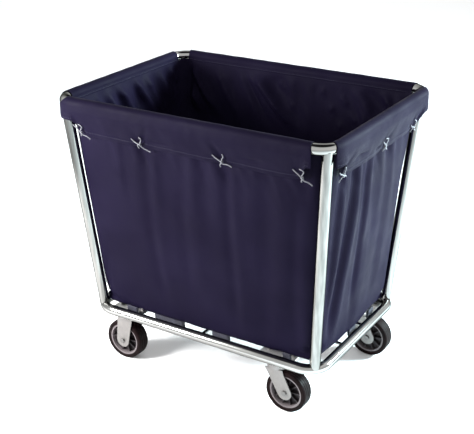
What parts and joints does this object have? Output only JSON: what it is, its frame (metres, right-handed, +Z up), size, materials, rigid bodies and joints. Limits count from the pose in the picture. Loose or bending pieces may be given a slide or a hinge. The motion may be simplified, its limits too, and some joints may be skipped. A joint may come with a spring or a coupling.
{
  "type": "linen trolley",
  "caption": "Linen trolley: tapered navy cloth bag hung in a polished tube frame and tied down with laces, on rigid and swivel casters.",
  "frame": {"origin": "on the floor, at the middle of the trolley", "axes": "+X along the long side towards the swivel casters, +Y across towards the back, +Z up; the front long side faces -Y"},
  "size_m": [0.8846, 0.6426, 0.8523],
  "materials": {
    "chrome_tube": "polished tube with soft streaks",
    "plated_rod": "bright plated rod",
    "navy_cloth": "coated oxford weave with a soft sheen",
    "navy_webbing": "woven webbing",
    "grey_lace": "braided lace",
    "tyre_rubber": "satin dark rubber",
    "hub_plastic": "moulded, grey rim",
    "bush_nylon": "plain bearing nylon",
    "bearing_steel": "oiled steel",
    "zinc_fastener": "zinc plated",
    "zinc_stamping": "zinc plated, satin"
  },
  "bodies": {
    "frame": {"bag": "navy_cloth", "base_rods": "plated_rod", "bottom_ring": "chrome_tube", "bottom_tabs": "navy_webbing", "caster_bracket_back_left": "zinc_stamping", "caster_bracket_front_left": "zinc_stamping", "caster_mount_plates": "zinc_stamping", "flap_back": "navy_cloth", "flap_front": "navy_cloth", "flap_left": "navy_cloth", "flap_right": "navy_cloth", "lace_back_1": "grey_lace", "lace_back_2": "grey_lace", "lace_back_3": "grey_lace", "lace_back_4": "grey_lace", "lace_front_1": "grey_lace", "lace_front_2": "grey_lace", "lace_front_3": "grey_lace", "lace_front_4": "grey_lace", "lace_knots": "grey_lace", "lace_left_1": "grey_lace", "lace_left_2": "grey_lace", "lace_left_3": "grey_lace", "lace_right_1": "grey_lace", "lace_right_2": "grey_lace", "lace_right_3": "grey_lace", "leg_back_left": "chrome_tube", "leg_back_right": "chrome_tube", "leg_front_left": "chrome_tube", "leg_front_right": "chrome_tube", "plate_bolts": "zinc_fastener", "plate_nuts": "zinc_fastener", "rigid_axle_bolts": "zinc_fastener", "rigid_axle_nuts": "zinc_fastener", "swivel_kingpin_back_right": "bearing_steel", "swivel_kingpin_front_right": "bearing_steel", "swivel_top_plate_back_right": "zinc_stamping", "swivel_top_plate_front_right": "zinc_stamping", "top_ring": "chrome_tube"},
    "wheel_front_left": {"tyre_front_left": "tyre_rubber", "hub_front_left": "hub_plastic", "wheel_bush_front_left": "bush_nylon"},
    "wheel_back_left": {"tyre_back_left": "tyre_rubber", "hub_back_left": "hub_plastic", "wheel_bush_back_left": "bush_nylon"},
    "wheel_front_right": {"tyre_front_right": "tyre_rubber", "hub_front_right": "hub_plastic", "wheel_bush_front_right": "bush_nylon"},
    "wheel_back_right": {"tyre_back_right": "tyre_rubber", "hub_back_right": "hub_plastic", "wheel_bush_back_right": "bush_nylon"},
    "swivel_front_right": {"swivel_fork_front_right": "zinc_stamping", "swivel_balls_front_right": "bearing_steel", "swivel_axle_bolt_front_right": "zinc_fastener", "swivel_axle_nut_front_right": "zinc_fastener"},
    "swivel_back_right": {"swivel_fork_back_right": "zinc_stamping", "swivel_balls_back_right": "bearing_steel", "swivel_axle_bolt_back_right": "zinc_fastener", "swivel_axle_nut_back_right": "zinc_fastener"}
  },
  "joints": [
    {"name": "swivel_turn_front_right", "type": "hinge", "parent": "frame", "child": "swivel_front_right", "pos_m": [0.226, -0.196, 0.145], "axis": [0, 0, 1], "continuous": true},
    {"name": "swivel_turn_back_right", "type": "hinge", "parent": "frame", "child": "swivel_back_right", "pos_m": [0.292, 0.208, 0.145], "axis": [0, 0, 1], "continuous": true},
    {"name": "wheel_spin_front_left", "type": "hinge", "parent": "frame", "child": "wheel_front_left", "pos_m": [-0.308, -0.196, 0.0635], "axis": [0, 1, 0], "continuous": true},
    {"name": "wheel_spin_back_left", "type": "hinge", "parent": "frame", "child": "wheel_back_left", "pos_m": [-0.308, 0.208, 0.0635], "axis": [0, 1, 0], "continuous": true},
    {"name": "wheel_spin_front_right", "type": "hinge", "parent": "swivel_front_right", "child": "wheel_front_right", "pos_m": [0.262, -0.196, 0.0635], "axis": [0, 1, 0], "continuous": true},
    {"name": "wheel_spin_back_right", "type": "hinge", "parent": "swivel_back_right", "child": "wheel_back_right", "pos_m": [0.328, 0.208, 0.0635], "axis": [0, 1, 0], "continuous": true}
  ]
}
